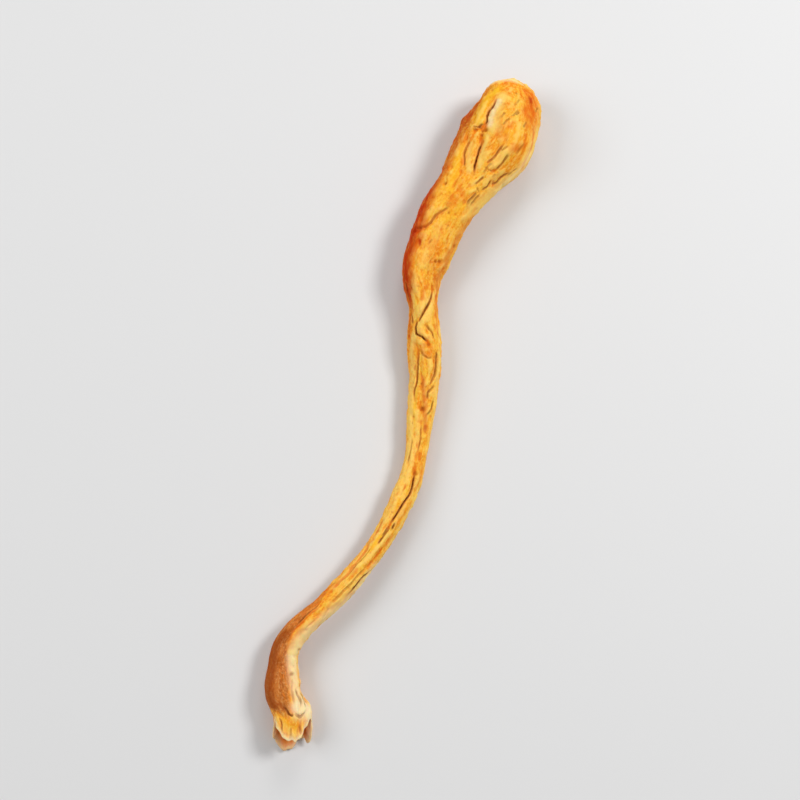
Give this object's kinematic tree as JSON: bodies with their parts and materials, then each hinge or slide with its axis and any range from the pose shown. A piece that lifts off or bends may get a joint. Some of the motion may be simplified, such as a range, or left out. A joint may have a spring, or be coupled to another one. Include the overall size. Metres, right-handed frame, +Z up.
{
  "type": "dried cordyceps fruiting body",
  "caption": "Dried club-shaped fungus lying on its side: wrinkled swollen head, lapped neck, slender winding stem and torn cupped foot.",
  "frame": {"origin": "on the ground under the middle of the fruiting body's box, as it lies", "axes": "+Z up; +Y from the torn foot towards the head; +X to the right, seen from above with the head away from the viewer"},
  "size_m": [0.0094, 0.0712, 0.0065],
  "materials": {
    "dried_skin": "matte, finely wrinkled, orange to pale yellow"
  },
  "bodies": {
    "root": {"fruiting_body": "dried_skin"}
  },
  "joints": []
}
